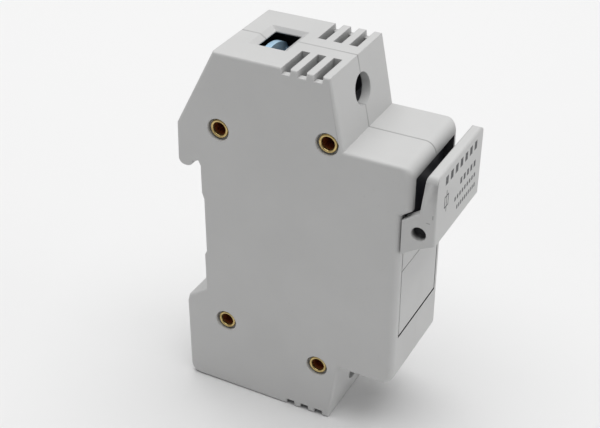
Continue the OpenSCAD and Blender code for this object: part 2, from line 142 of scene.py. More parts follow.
def new_group(name, inputs, outputs):
    """A shader node group; inputs are (name, type, default) and outputs are (name, type)."""
    group = bpy.data.node_groups.new(name, "ShaderNodeTree")
    for label, kind, value in inputs:
        socket = group.interface.new_socket(label, in_out="INPUT", socket_type=kind)
        if value is not None:
            socket.default_value = value
    for label, kind in outputs:
        group.interface.new_socket(label, in_out="OUTPUT", socket_type=kind)
    start = group.nodes.new("NodeGroupInput")
    end = group.nodes.new("NodeGroupOutput")
    return group, start, end


FLOAT = "NodeSocketFloat"
VECTOR = "NodeSocketVector"


def node(tree, kind, **settings):
    """A new node with its attributes set."""
    made = tree.nodes.new(kind)
    for key, value in settings.items():
        setattr(made, key, value)
    return made


def math_node(tree, operation, a, b=None, clamp=False):
    """A Math node whose inputs are numbers or sockets."""
    made = node(tree, "ShaderNodeMath", operation=operation, use_clamp=clamp)
    for index, value in enumerate((a, b)):
        if value is None:
            continue
        if isinstance(value, (int, float)):
            made.inputs[index].default_value = value
        else:
            tree.links.new(value, made.inputs[index])
    return made.outputs[0]


def map_range(tree, value, low, high, to_low=0.0, to_high=1.0):
    """A clamped Map Range node."""
    made = node(tree, "ShaderNodeMapRange", clamp=True)
    tree.links.new(value, made.inputs["Value"])
    made.inputs["From Min"].default_value = low
    made.inputs["From Max"].default_value = high
    made.inputs["To Min"].default_value = to_low
    made.inputs["To Max"].default_value = to_high
    return made.outputs["Result"]


def noise(tree, vector, scale, detail=3.0, rough=0.5):
    """A Noise Texture's value, at a scale in waves per metre."""
    made = node(tree, "ShaderNodeTexNoise")
    tree.links.new(vector, made.inputs["Vector"])
    if isinstance(scale, (int, float)):
        made.inputs["Scale"].default_value = scale
    else:
        tree.links.new(scale, made.inputs["Scale"])
    made.inputs["Detail"].default_value = detail
    made.inputs["Roughness"].default_value = rough
    return made.outputs["Fac"]


def mix_colour(tree, factor, a, b, blend="MIX"):
    """A Mix node on colours; a and b are sockets or colour tuples."""
    made = node(tree, "ShaderNodeMix", data_type="RGBA", blend_type=blend)
    if isinstance(factor, (int, float)):
        made.inputs["Factor"].default_value = factor
    else:
        tree.links.new(factor, made.inputs["Factor"])
    for label, value in (("A", a), ("B", b)):
        socket = [s for s in made.inputs if s.name == label and s.type == "RGBA"][0]
        if isinstance(value, (tuple, list)):
            socket.default_value = tuple(value)
        else:
            tree.links.new(value, socket)
    return [s for s in made.outputs if s.type == "RGBA"][0]


# ---------------------------------------------------------------- shared effects

def make_edge_mask():
    """Bright where the surface turns a convex edge, broken up by noise."""
    group, start, end = new_group(
        "edge_wear",
        [("Vector", VECTOR, None), ("Radius", FLOAT, 0.0006), ("Break", FLOAT, 900.0),
         ("Amount", FLOAT, 1.0)],
        [("Mask", FLOAT)])
    bevel = node(group, "ShaderNodeBevel", samples=4)
    group.links.new(start.outputs["Radius"], bevel.inputs["Radius"])
    geometry = node(group, "ShaderNodeNewGeometry")
    dot = node(group, "ShaderNodeVectorMath", operation="DOT_PRODUCT")
    group.links.new(bevel.outputs["Normal"], dot.inputs[0])
    group.links.new(geometry.outputs["True Normal"], dot.inputs[1])
    turn = map_range(group, dot.outputs["Value"], 0.995, 0.80)
    breakup = noise(group, start.outputs["Vector"], start.outputs["Break"], 4.0, 0.6)
    patchy = map_range(group, breakup, 0.38, 0.62)
    layered = math_node(group, "MULTIPLY", turn, patchy)
    out = math_node(group, "MULTIPLY", layered, start.outputs["Amount"], clamp=True)
    group.links.new(out, end.inputs["Mask"])
    return group


def make_moulded_grain():
    """Fine spark-eroded grain of a plastic mould, with faint flow clouds."""
    group, start, end = new_group(
        "moulded_grain",
        [("Vector", VECTOR, None), ("Grain", FLOAT, 3200.0), ("Clouds", FLOAT, 55.0)],
        [("Height", FLOAT), ("Cloud", FLOAT), ("Speck", FLOAT)])
    fine = noise(group, start.outputs["Vector"], start.outputs["Grain"], 2.0, 0.55)
    half = math_node(group, "MULTIPLY", start.outputs["Grain"], 0.31)
    coarse = noise(group, start.outputs["Vector"], half, 2.0, 0.5)
    both = math_node(group, "ADD", math_node(group, "MULTIPLY", fine, 0.65),
                     math_node(group, "MULTIPLY", coarse, 0.35))
    group.links.new(both, end.inputs["Height"])
    cloud = noise(group, start.outputs["Vector"], start.outputs["Clouds"], 4.0, 0.55)
    group.links.new(map_range(group, cloud, 0.3, 0.7), end.inputs["Cloud"])
    speck = noise(group, start.outputs["Vector"], 1400.0, 1.0, 0.4)
    group.links.new(map_range(group, speck, 0.76, 0.82), end.inputs["Speck"])
    return group


def make_smudges():
    """Soft handling marks that change the gloss in patches."""
    group, start, end = new_group(
        "smudges", [("Vector", VECTOR, None), ("Size", FLOAT, 120.0)], [("Mask", FLOAT)])
    wide = noise(group, start.outputs["Vector"], start.outputs["Size"], 5.0, 0.62)
    small = math_node(group, "MULTIPLY", start.outputs["Size"], 4.3)
    tight = noise(group, start.outputs["Vector"], small, 3.0, 0.5)
    both = math_node(group, "MULTIPLY", map_range(group, wide, 0.42, 0.68),
                     map_range(group, tight, 0.3, 0.75))
    group.links.new(both, end.inputs["Mask"])
    return group


def make_drawn_metal():
    """Long fine rolling lines along one axis, with stain patches."""
    group, start, end = new_group(
        "drawn_metal",
        [("Vector", VECTOR, None), ("Stretch", VECTOR, (1.0, 1.0, 0.04)),
         ("Lines", FLOAT, 6000.0), ("Stains", FLOAT, 420.0)],
        [("Height", FLOAT), ("Line", FLOAT), ("Stain", FLOAT)])
    scaled = node(group, "ShaderNodeVectorMath", operation="MULTIPLY")
    group.links.new(start.outputs["Vector"], scaled.inputs[0])
    group.links.new(start.outputs["Stretch"], scaled.inputs[1])
    lines = noise(group, scaled.outputs["Vector"], start.outputs["Lines"], 3.0, 0.6)
    group.links.new(lines, end.inputs["Height"])
    group.links.new(map_range(group, lines, 0.3, 0.7), end.inputs["Line"])
    stains = noise(group, start.outputs["Vector"], start.outputs["Stains"], 4.0, 0.6)
    group.links.new(map_range(group, stains, 0.45, 0.68), end.inputs["Stain"])
    return group


def make_painted_crevice_shade():
    """Painted shade from ambient occlusion: falls from one to a small share deep in gaps and
    holes.
    """
    group, start, end = new_group(
        "painted_crevice_shade", [("Distance", FLOAT, 0.005), ("Depth", FLOAT, 0.12)], [("Light", FLOAT)])
    hidden = node(group, "ShaderNodeAmbientOcclusion", samples=6)
    group.links.new(start.outputs["Distance"], hidden.inputs["Distance"])
    ranged = node(group, "ShaderNodeMapRange", clamp=True)
    group.links.new(hidden.outputs["AO"], ranged.inputs["Value"])
    ranged.inputs["From Min"].default_value = 0.05
    ranged.inputs["From Max"].default_value = 0.34
    group.links.new(start.outputs["Depth"], ranged.inputs["To Min"])
    group.links.new(ranged.outputs["Result"], end.inputs["Light"])
    return group


def box_mask(group, split, limits):
    """One inside a box on some of the axes: {axis: (low, high)}, in metres."""
    total = None
    for axis, (low, high) in limits.items():
        off = math_node(group, "SUBTRACT", split.outputs[axis], (low + high) / 2)
        inside = math_node(group, "LESS_THAN", math_node(group, "ABSOLUTE", off),
                           (high - low) / 2)
        total = inside if total is None else math_node(group, "MULTIPLY", total, inside)
    return total


def make_print_and_hole_shade():
    """Black print on the finger plate, a fuse's symbol and rows of plain strokes, two faint ticks
    on the cheek, and painted shade inside the seal holes, darker deeper in."""
    group, start, end = new_group("print_and_painted_hole_shade", [("Vector", VECTOR, None)], [("Mask", FLOAT)])
    split = node(group, "ShaderNodeSeparateXYZ")
    group.links.new(start.outputs["Vector"], split.inputs[0])
    on_plate = math_node(group, "LESS_THAN", split.outputs["Y"], PLATE_Y + 0.3 * MM)
    total = None
    for low, high, count, z, tall in ((-8.9, 10.9, 7, -2.9, 2.1), (0.3, 10.5, 5, -7.7, 1.6),
                                      (-2.6, 10.6, 9, -10.9, 1.1), (-1.0, 10.8, 10, -13.7, 1.1)):
        pitch = (high - low) / count
        middle = PLATE_TOP + z * MM
        row = box_mask(group, split, {"X": (low * MM, (high - 0.1) * MM),
                                      "Z": (middle - tall * MM / 2, middle + tall * MM / 2)})
        steps = math_node(group, "MULTIPLY", math_node(group, "SUBTRACT", split.outputs["X"],
                                                       low * MM), 1 / (pitch * MM))
        stroke = math_node(group, "LESS_THAN", math_node(group, "FRACT", steps), 0.55)
        one = math_node(group, "MULTIPLY", row, stroke)
        total = one if total is None else math_node(group, "MAXIMUM", total, one)
    for low, high, z, tall in ((-8.9, -8.55, -8.3, 3.0), (-6.85, -6.5, -8.3, 3.0),
                               (-8.9, -6.5, -6.97, 0.35), (-8.9, -6.5, -9.63, 0.35),
                               (-7.85, -7.55, -8.3, 5.4)):
        middle = PLATE_TOP + z * MM
        one = box_mask(group, split, {"X": (low * MM, high * MM),
                                      "Z": (middle - tall * MM / 2, middle + tall * MM / 2)})
        total = math_node(group, "MAXIMUM", total, one)
    total = math_node(group, "MULTIPLY", total, on_plate)
    on_cheek = math_node(group, "LESS_THAN", split.outputs["X"], -HALF_W + 0.2 * MM)
    for y0, y1, z0, z1 in ((-31.55, -31.35, -10.3, -9.3), (-30.9, -30.0, -11.6, -11.4)):
        one = box_mask(group, split, {"Y": (y0 * MM, y1 * MM),
                                      "Z": (PLATE_TOP + z0 * MM, PLATE_TOP + z1 * MM)})
        faint = math_node(group, "MULTIPLY", math_node(group, "MULTIPLY", one, on_cheek), 0.5)
        total = math_node(group, "MAXIMUM", total, faint)
    # painted shade inside the seal holes, darker deeper in
    sunk = math_node(group, "SUBTRACT", HALF_W, math_node(group, "ABSOLUTE", split.outputs["X"]))
    in_hole = box_mask(group, split, {"Y": (SEAL.x - 2.6 * MM, SEAL.x + 4.6 * MM),
                                      "Z": (SEAL.y - 5 * MM, SEAL.y + 2.6 * MM)})
    shade = math_node(group, "MULTIPLY", in_hole, map_range(group, sunk, 0.6 * MM, 1.8 * MM,
                                                            0.0, 0.95))
    ragged = noise(group, start.outputs["Vector"], 5200.0, 2.0, 0.5)
    inked = math_node(group, "MULTIPLY", total, map_range(group, ragged, 0.28, 0.42, 0.55, 1.0))
    group.links.new(math_node(group, "MAXIMUM", inked, shade), end.inputs["Mask"])
    return group


def make_seam_and_slot_shade():
    """Marks the parting line of the housing halves as a dark joint, left out low in front where it
    is too fine to see, and paints shade on the walls of the slot below the carrier."""
    group, start, end = new_group("seam_line_and_painted_slot_shade", [("Vector", VECTOR, None)], [("Mask", FLOAT)])
    split = node(group, "ShaderNodeSeparateXYZ")
    group.links.new(start.outputs["Vector"], split.inputs[0])
    off = math_node(group, "ABSOLUTE", split.outputs["X"])
    line = map_range(group, off, 0.36 * MM, 0.1 * MM, 0.0, 0.3)
    in_front = math_node(group, "LESS_THAN", split.outputs["Y"], 0.0)
    low_down = math_node(group, "LESS_THAN", split.outputs["Z"], PLATE_TOP - 2 * MM)
    clear = math_node(group, "SUBTRACT", 1.0, math_node(group, "MULTIPLY", in_front, low_down))
    line = math_node(group, "MULTIPLY", line, clear)
    # painted shade on the walls of the slot below the carrier
    in_slot = box_mask(group, split, {"X": (-CHAMBER_X - 0.1 * MM, CHAMBER_X + 0.1 * MM),
                                      "Y": (FRONT_Y + 0.05 * MM, FRONT_Y + 4 * MM),
                                      "Z": (SLOT_Z - 0.8 * MM, SLOT_Z + 0.5 * MM)})
    group.links.new(math_node(group, "MAXIMUM", line, in_slot), end.inputs["Mask"])
    return group


EDGES = make_edge_mask()
PAINTED_CREVICE_SHADE = make_painted_crevice_shade()
PRINT_AND_HOLE_SHADE = make_print_and_hole_shade()
SEAM_AND_SLOT_SHADE = make_seam_and_slot_shade()
GRAIN = make_moulded_grain()
SMUDGES = make_smudges()
DRAWN = make_drawn_metal()


def place(tree, group, **values):
    """Puts a group in a material with its own values, fed by object coordinates."""
    made = node(tree, "ShaderNodeGroup", node_tree=group)
    coords = tree.nodes.get("coords") or node(tree, "ShaderNodeTexCoord", name="coords")
    if "Vector" in made.inputs:
        tree.links.new(coords.outputs["Object"], made.inputs["Vector"])
    for label, value in values.items():
        made.inputs[label].default_value = value
    return made


def start_material(name, roughness, metallic=0.0, specular=0.5):
    """A material with a Principled shader, ready for its own nodes."""
    material = bpy.data.materials.new(name)
    material.use_nodes = True
    tree = material.node_tree
    shader = tree.nodes["Principled BSDF"]
    shader.inputs["Roughness"].default_value = roughness
    shader.inputs["Metallic"].default_value = metallic
    shader.inputs["Specular IOR Level"].default_value = specular
    return material, tree, shader


def add_bump(tree, shader, height, distance, strength, corner=0.0):
    """A Bump node from a height to the shader's normal, over corners rounded by corner."""
    bump = node(tree, "ShaderNodeBump")
    if corner:
        rounded = node(tree, "ShaderNodeBevel", samples=4)
        rounded.inputs["Radius"].default_value = corner
        tree.links.new(rounded.outputs["Normal"], bump.inputs["Normal"])
    bump.inputs["Distance"].default_value = distance
    bump.inputs["Strength"].default_value = strength
    tree.links.new(height, bump.inputs["Height"])
    tree.links.new(bump.outputs["Normal"], shader.inputs["Normal"])


def scaled_colour(colour, factor):
    """A colour tuple made lighter or darker."""
    return tuple(min(1.0, channel * factor) for channel in colour[:3]) + (1.0,)


def plastic(name, colour, roughness, grain=3200.0, bump=0.10, wear=0.35, wear_shade=1.12,
            ink_and_shade_group=None, depth=0.3, corner=0.3):
    """Moulded plastic: grain, flow clouds, specks, smudges, rubbed edges, and painted shade in
    crevices.
    """
    material, tree, shader = start_material(name, roughness)
    grain_node = place(tree, GRAIN, Grain=grain)
    edge_node = place(tree, EDGES, Amount=wear)
    smudge_node = place(tree, SMUDGES)
    clouded = mix_colour(tree, grain_node.outputs["Cloud"], scaled_colour(colour, 0.972),
                         scaled_colour(colour, 1.02))
    specked = mix_colour(tree, math_node(tree, "MULTIPLY", grain_node.outputs["Speck"], 0.18),
                         clouded, scaled_colour(colour, 0.6))
    layered = mix_colour(tree, edge_node.outputs["Mask"], specked, scaled_colour(colour, wear_shade))
    # near-black print, and painted shade inside the seal holes
    if ink_and_shade_group:
        ink_and_shade_node = place(tree, ink_and_shade_group)
        layered = mix_colour(tree, ink_and_shade_node.outputs["Mask"], layered, (0.02, 0.02, 0.024, 1.0))
    else:
        # dark seam joint, and painted shade on the walls of the slot below the carrier
        seam_and_slot_shade_node = place(tree, SEAM_AND_SLOT_SHADE)
        layered = mix_colour(tree, seam_and_slot_shade_node.outputs["Mask"], layered, scaled_colour(colour, 0.12))
    # painted shade: the colour falls towards near-black deep in gaps and holes
    light = place(tree, PAINTED_CREVICE_SHADE, Depth=depth).outputs["Light"]
    shaded = mix_colour(tree, light, scaled_colour(colour, 0.02), layered)
    tree.links.new(shaded, shader.inputs["Base Color"])
    rough = map_range(tree, smudge_node.outputs["Mask"], 0.0, 1.0, roughness, roughness - 0.12)
    tree.links.new(rough, shader.inputs["Roughness"])
    add_bump(tree, shader, grain_node.outputs["Height"], 0.00006, bump, corner * MM)
    return material


def metal(name, colour, roughness, stretch, stain_colour, stain=0.5, lines=6000.0, bump=0.12,
          metallic=1.0):
    """Rolled or plated metal: fine lines, stains and polished edges."""
    material, tree, shader = start_material(name, roughness, metallic=metallic)
    drawn = place(tree, DRAWN, Stretch=stretch, Lines=lines)
    edge_node = place(tree, EDGES, Radius=0.0002, Amount=0.5)
    lined = mix_colour(tree, drawn.outputs["Line"], scaled_colour(colour, 0.88),
                       scaled_colour(colour, 1.06))
    stained = mix_colour(tree, math_node(tree, "MULTIPLY", drawn.outputs["Stain"], stain),
                         lined, stain_colour)
    layered = mix_colour(tree, edge_node.outputs["Mask"], stained, scaled_colour(colour, 1.25))
    tree.links.new(layered, shader.inputs["Base Color"])
    rough = map_range(tree, drawn.outputs["Stain"], 0.0, 1.0, roughness, roughness + 0.18)
    tree.links.new(rough, shader.inputs["Roughness"])
    add_bump(tree, shader, drawn.outputs["Height"], 0.00002, bump)
    return material


def rivet_brass():
    """Brass of the rivets: bright on the rolled rims, with painted shade inside the tubes, dark
    red-brown.
    """
    material, tree, shader = start_material("rivet_brass", 0.3, metallic=1.0)
    drawn = place(tree, DRAWN, Stretch=(1.0, 1.0, 1.0), Lines=2500.0, Stains=900.0)
    coords = tree.nodes["coords"]
    split = node(tree, "ShaderNodeSeparateXYZ")
    tree.links.new(coords.outputs["Object"], split.inputs[0])
    out = math_node(tree, "ABSOLUTE", split.outputs["X"])
    rim = map_range(tree, out, HALF_W - 1.3 * MM, HALF_W - 1.0 * MM)
    bright = mix_colour(tree, math_node(tree, "MULTIPLY", drawn.outputs["Stain"], 0.45),
                        (0.6, 0.46, 0.2, 1.0), (0.3, 0.2, 0.08, 1.0))
    # painted shade: dark red-brown deeper in the tubes, plain brass on the rims
    tree.links.new(mix_colour(tree, rim, (0.26, 0.07, 0.02, 1.0), bright),
                   shader.inputs["Base Color"])
    tree.links.new(map_range(tree, rim, 0.0, 1.0, 0.35, 1.0), shader.inputs["Metallic"])
    tree.links.new(map_range(tree, drawn.outputs["Stain"], 0.0, 1.0, 0.26, 0.45),
                   shader.inputs["Roughness"])
    add_bump(tree, shader, drawn.outputs["Height"], 0.00002, 0.1)
    return material


# ---------------------------------------------------------------- rounding the CAD shapes

def link_mesh(name, bm, material, body, replaced=()):
    """Makes a piece from a bmesh, gives it its material, and lets it ride on its body."""
    mesh = bpy.data.meshes.new(name)
    bm.to_mesh(mesh)
    bm.free()
    piece = bpy.data.objects.new(name, mesh)
    bpy.context.scene.collection.objects.link(piece)
    for finish in material if isinstance(material, (tuple, list)) else (material,):
        piece.data.materials.append(finish)
    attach(piece, body)
    if replaced:
        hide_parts(*replaced)
    return piece


def keep_faces_flat(piece, weight=80):
    """Lets large faces stay flat in the shading, and hard edges hard."""
    normals = piece.modifiers.new("flat_faces", "WEIGHTED_NORMAL")
    normals.mode = "FACE_AREA"
    normals.weight = weight
    normals.keep_sharp = True


def middle_of(edge):
    """The point halfway along an edge."""
    return (edge.verts[0].co + edge.verts[1].co) / 2


def planar_copy(cad_name):
    """A bmesh copy of a CAD node, with its flat faces joined back into whole faces."""
    bm = bmesh.new()
    bm.from_mesh(NODES[cad_name].data)
    bmesh.ops.remove_doubles(bm, verts=bm.verts, dist=0.002 * MM)
    bmesh.ops.dissolve_limit(bm, angle_limit=math.radians(0.6), verts=bm.verts, edges=bm.edges,
                             delimit=set())
    bm.normal_update()
    return bm


def is_corner(edge):
    """True where two faces meet at a real corner rather than along a curve."""
    return len(edge.link_faces) == 2 and edge.calc_face_angle(0.0) > math.radians(24)


def room_across(edge, face, corners):
    """Distance over the face from the edge's middle to the next corner edge."""
    start = middle_of(edge)
    loop = next(l for l in edge.link_loops if l.face == face)
    along = (loop.link_loop_next.vert.co - loop.vert.co).normalized()
    across = face.normal.cross(along)
    best = 1.0
    for other in face.edges:
        if other is edge or other not in corners:
            continue
        a, b = (v.co - start for v in other.verts)
        a_along, b_along = a.dot(along), b.dot(along)
        if a_along * b_along > 0 or abs(a_along - b_along) < 1e-9:
            continue
        share = a_along / (a_along - b_along)
        reach = (a + (b - a) * share).dot(across)
        if reach > 1e-6:
            best = min(best, reach)
    return best


def soften(cad_name, piece_name, radius_of, material, body, reshape=None, extra=None):
    """A finished copy of a CAD node, with rounded edges, and room kept between the roundings."""
    bm = planar_copy(cad_name)
    if reshape:
        reshape(bm)
    layer = bm.edges.layers.float.new("bevel_weight_edge")
    corners = {edge for edge in bm.edges if is_corner(edge)}
    wanted = {}
    for edge in corners:
        radius = radius_of(edge)
        if radius <= 0:
            continue
        room = min(room_across(edge, face, corners) for face in edge.link_faces)
        wanted[edge] = min(radius, 0.42 * room)
    widest = max(wanted.values(), default=0.1 * MM)
    for edge, radius in wanted.items():
        edge[layer] = radius / widest
    if extra:
        extra(bm)
    piece = link_mesh(piece_name, bm, material, body, (cad_name,))
    bevel = piece.modifiers.new("rounding", "BEVEL")
    bevel.limit_method = "WEIGHT"
    bevel.width = widest
    bevel.segments = 3
    bevel.use_clamp_overlap = True
    bevel.miter_outer = "MITER_ARC"
    bevel.harden_normals = False
    piece.data.shade_smooth()
    keep_faces_flat(piece)
    return piece


def evenly(radius):
    """The same radius for every edge."""
    return lambda edge: radius * MM




def open_plane(bm, plane_x):
    """Removes the flat faces in a plane across X. Returns the loops round them, each a list of
    (vertex, direction into the flat face at the edge that starts there)."""
    flats = [face for face in bm.faces
             if all(abs(vert.co.x - plane_x) < 0.1 * CLOSE for vert in face.verts)]
    within = set(flats)

    def on_border(loop):
        return sum(other in within for other in loop.edge.link_faces) == 1

    loops, done = [], set()
    for face in flats:
        for start in face.loops:
            if start in done or not on_border(start):
                continue
            chain, loop = [], start
            while loop not in done:
                done.add(loop)
                along = (loop.link_loop_next.vert.co - loop.vert.co).normalized()
                across = loop.face.normal.cross(along)
                chain.append((loop.vert, Vector((across.y, across.z)).normalized()))
                loop = loop.link_loop_next
                while not on_border(loop):
                    loop = loop.link_loop_radial_next.link_loop_next
            if len(chain) > 2:
                loops.append(chain)
    bmesh.ops.delete(bm, geom=flats, context="FACES_KEEP_BOUNDARY")
    return loops


def round_plane(bm, plane_x, radius_at, steps=5):
    """Rounds the edges that lie in a plane across X, and fills the flat face between them."""
    sign = 1 if sum(v.co.x for v in bm.verts) / len(bm.verts) < plane_x else -1
    fill = []
    for chain in open_plane(bm, plane_x):
        count = len(chain)
        miters, radii = [], []
        for index, (vert, after) in enumerate(chain):
            before = chain[index - 1][1]
            miters.append((before + after) / max(0.5, 1 + before.dot(after)))
            radii.append(radius_at(vert, -before, -after))
        rings = [[vert for vert, _ in chain]]
        if max(radii) > 0:
            for step in range(1, steps + 1):
                turn = math.pi / 2 * step / steps
                ring = []
                for (vert, _), miter, radius in zip(chain, miters, radii):
                    over = radius * (1 - math.cos(turn))
                    ring.append(bm.verts.new((plane_x - sign * radius * (1 - math.sin(turn)),
                                              vert.co.y + miter.x * over,
                                              vert.co.z + miter.y * over)))
                rings.append(ring)
            for (vert, _), radius in zip(chain, radii):
                vert.co.x = plane_x - sign * radius
        for here, there in zip(rings, rings[1:]):
            for index in range(count):
                after = (index + 1) % count
                bm.faces.new([here[index], here[after], there[after], there[index]])
        last = rings[-1]
        for index in range(count):
            pair = (last[index], last[(index + 1) % count])
            fill.append(bm.edges.get(pair) or bm.edges.new(pair))
    bmesh.ops.triangle_fill(bm, use_beauty=True, edges=fill)
    bmesh.ops.remove_doubles(bm, verts=bm.verts, dist=1e-7)


def seam_radius(vert, before, after):
    """A small groove where the halves meet on the outside, and none in the holes."""
    if vert.co.y < 0 and vert.co.z < PLATE_TOP - 2 * MM:
        return 0.0
    for edge in vert.link_edges:
        other = edge.other_vert(vert).co
        if abs(other.x) > HALF_W - 2 * MM and abs(other.y - vert.co.y) < CLOSE:
            return SEAM_R
    return 0.0


def side_radius(vert, before, after):
    """Radius round a housing half's side face, larger at the front."""
    y, z = vert.co.y, vert.co.z
    if any((Vector((y, z)) - spot).length < 3 * MM for spot in RIVETS):
        return 0.16 * MM
    from_end = min(TOP_Z - z, z)
    if from_end < 1.7 * MM and VENT_LOW < y < VENT_HIGH:
        return (0.6 if from_end < 0.05 * MM else 0.2) * MM
    if NOTCH_LOW < z < NOTCH_HIGH and y > RAIL_Y - 1.5 * MM:
        return 0.3 * MM
    forward = max(0.0, -(before.x + after.x) / 2) if y < FRONT_Y + 3 * MM else 0.0
    more = NOSE_MORE_R if NOSE_LOW < z < NOSE_HIGH else FRONT_MORE_R
    return SIDE_R + more * forward ** 2


def raise_lip(bm):
    """Brings the housing's front lip up to the carrier's shortened lower edge."""
    for vert in bm.verts:
        if vert.co.y < FRONT_Y + 0.15 * MM and abs(vert.co.z - (FRONT_LOW.z - LIP_GAP)) < CLOSE:
            at_back = vert.co.y > FRONT_Y + CLOSE
            vert.co.z = SLOT_Z - LIP_DROP - (0.05 * MM if at_back else 0.0)


def shorten_front(bm):
    """Cuts the carrier's lower front edge back to the dark slot above the housing's lip."""
    for vert in bm.verts:
        if vert.co.y < FRONT_Y + CLOSE and abs(vert.co.z - FRONT_LOW.z) < CLOSE:
            vert.co.z = SLOT_Z + EDGE_RISE


def shell_face_slot(face):
    """One for the faces of the space inside a housing half, which get painted shade, and none for
    the others.
    """
    middle = face.calc_center_median()
    if max(abs(vert.co.x) for vert in face.verts) > CHAMBER_X + 0.05 * MM:
        return 0
    in_vent = VENT_LOW < middle.y < VENT_HIGH and abs(middle.x) > 1.5 * MM
    if min(TOP_Z - middle.z, middle.z) < (VENT_DEEP if in_vent else ENTRY_DEEP):
        return 0
    if middle.y > RAIL_Y - 1.5 * MM or abs(middle.x) < CLOSE:
        return 0
    for z in (SCREW_Z, TOP_Z - SCREW_Z):
        off = math.hypot(middle.x, middle.z - z)
        if abs(off - ACCESS_R) < 0.1 * MM and middle.y < HEAD_Y - 1 * MM:
            return 0
    return 1


def sharpen_corners(piece, angle=33):
    """Smooth shading all over, apart from edges that turn more than the angle in degrees."""
    bm = bmesh.new()
    bm.from_mesh(piece.data)
    for edge in bm.edges:
        turn = edge.calc_face_angle(0.0) if len(edge.link_faces) == 2 else 0.0
        edge.smooth = turn <= math.radians(angle)
    bm.to_mesh(piece.data)
    bm.free()
    for polygon in piece.data.polygons:
        polygon.use_smooth = True
    keep_faces_flat(piece)


def make_housing_half(side):
    """One half of the housing, rounded round its side face and grooved at the seam."""
    bm = planar_copy(side + "_shell")
    raise_lip(bm)
    for face in bm.faces:
        face.material_index = shell_face_slot(face)
    round_plane(bm, 0.0, seam_radius, 3)
    round_plane(bm, -HALF_W if side == "left" else HALF_W, side_radius, 5)
    bmesh.ops.recalc_face_normals(bm, faces=bm.faces)
    piece = link_mesh(side + "_housing_half", bm, (GREY, INSIDE_PAINTED_SHADE), "housing",
                      (side + "_shell",))
    sharpen_corners(piece)
    return piece


def handle_radius(vert, before, after):
    """Radius round the handle's side faces, larger down the front of the plate."""
    y, z = vert.co.y, vert.co.z
    taper = min(1.0, max(0.0, (PLATE_TOP - 1.65 * MM - z) / (1.6 * MM)))
    if (Vector((y, z)) - SEAL).length < 2.2 * MM:
        return 0.2 * MM
    return (0.65 * taper if y < PLATE_Y + 0.1 * MM else 0.4 * taper) * MM


def make_handle():
    """The pull handle, rounded round both of its side faces."""
    bm = planar_copy("handle")
    round_plane(bm, -HALF_W, handle_radius)
    round_plane(bm, HALF_W, handle_radius)
    bmesh.ops.recalc_face_normals(bm, faces=bm.faces)
    piece = link_mesh("pull_handle", bm, MARKED_WITH_HOLE_SHADE, "carrier", ("handle",))
    sharpen_corners(piece)
    return piece


def front_radius(edge):
    """Edge radii of the front panel, with a crisp lower edge."""
    return (0.12 if middle_of(edge).z < FRONT_LOW.z + 0.8 * MM else 0.22) * MM


# ---------------------------------------------------------------- turned and coiled pieces

def turned(bm, profile, frame_at, segments=48, wobble=None):
    """Revolves a closed profile of (radius, along) about an axis; frame_at gives the point."""
    rings = []
    for step in range(segments):
        angle = 2 * math.pi * step / segments
        ring = []
        for index, (radius, along) in enumerate(profile):
            reach = radius * (1 + (wobble(angle, index) if wobble else 0.0))
            ring.append(bm.verts.new(frame_at(reach * math.cos(angle), reach * math.sin(angle),
                                              along)))
        rings.append(ring)
    count = len(profile)
    for step in range(segments):
        here, there = rings[step], rings[(step + 1) % segments]
        for index in range(count):
            after = (index + 1) % count
            corners = [here[index], here[after], there[after], there[index]]
            if (corners[0].co - corners[3].co).length < 1e-8 and \
                    (corners[1].co - corners[2].co).length < 1e-8:
                continue
            bm.faces.new(corners)
    bmesh.ops.remove_doubles(bm, verts=bm.verts, dist=1e-7)
    bmesh.ops.recalc_face_normals(bm, faces=bm.faces)


def arc(centre, radius, start, end, steps):
    """Points on an arc of a profile, from the start angle to the end angle in degrees."""
    points = []
    for step in range(steps + 1):
        angle = math.radians(start + (end - start) * step / steps)
        points.append((centre[0] + radius * math.cos(angle), centre[1] + radius * math.sin(angle)))
    return points


def make_rivets():
    """Four hollow rivets with rolled rims, a little uneven round their edges."""
    tube_in, tube_out, rim, reach = 1.55 * MM, 1.95 * MM, 0.36 * MM, HALF_W - 1.2 * MM
    bm = bmesh.new()
    for spot in RIVETS:
        rim_out = arc((tube_out, reach + rim), rim, 200, -90, 14)
        profile = [(tube_in, -reach + 0.3 * MM), (tube_in, reach - 0.3 * MM)]
        profile += rim_out + [(tube_out, reach - 0.01 * MM)]
        mirrored = [(r, -z) for r, z in reversed(rim_out)]
        profile += [(tube_out, -reach + 0.01 * MM)] + mirrored
        phase = spot.x * 900

        def uneven(angle, index, phase=phase):
            return 0.006 * math.sin(3 * angle + phase) + 0.004 * math.sin(7 * angle + 2 * phase)

        part = bmesh.new()
        turned(part, profile, lambda u, v, w: Vector((w, spot.x + u, spot.y + v)), 56, uneven)
        mesh = bpy.data.meshes.new("rivet_part")
        part.to_mesh(mesh)
        part.free()
        bm.from_mesh(mesh)
        bpy.data.meshes.remove(mesh)
    piece = link_mesh("rolled_rivets", bm, BRASS, "housing", ("hollow_rivets",))
    piece.data.shade_smooth()
    return piece


def tube_along(bm, points, radius, sides=10):
    """A round wire through a list of points, with closed ends."""
    rings = []
    for index, point in enumerate(points):
        ahead = points[min(index + 1, len(points) - 1)] - points[max(index - 1, 0)]
        ahead.normalize()
        side = ahead.cross(Vector((0, 0, 1))).normalized()
        up = side.cross(ahead)
        rings.append([bm.verts.new(point + radius * (side * math.cos(2 * math.pi * k / sides)
                                                     + up * math.sin(2 * math.pi * k / sides)))
                      for k in range(sides)])
    for here, there in zip(rings, rings[1:]):
        for k in range(sides):
            bm.faces.new([here[k], here[(k + 1) % sides], there[(k + 1) % sides], there[k]])
    bm.faces.new(list(reversed(rings[0])))
    bm.faces.new(rings[-1])
    bmesh.ops.recalc_face_normals(bm, faces=bm.faces)


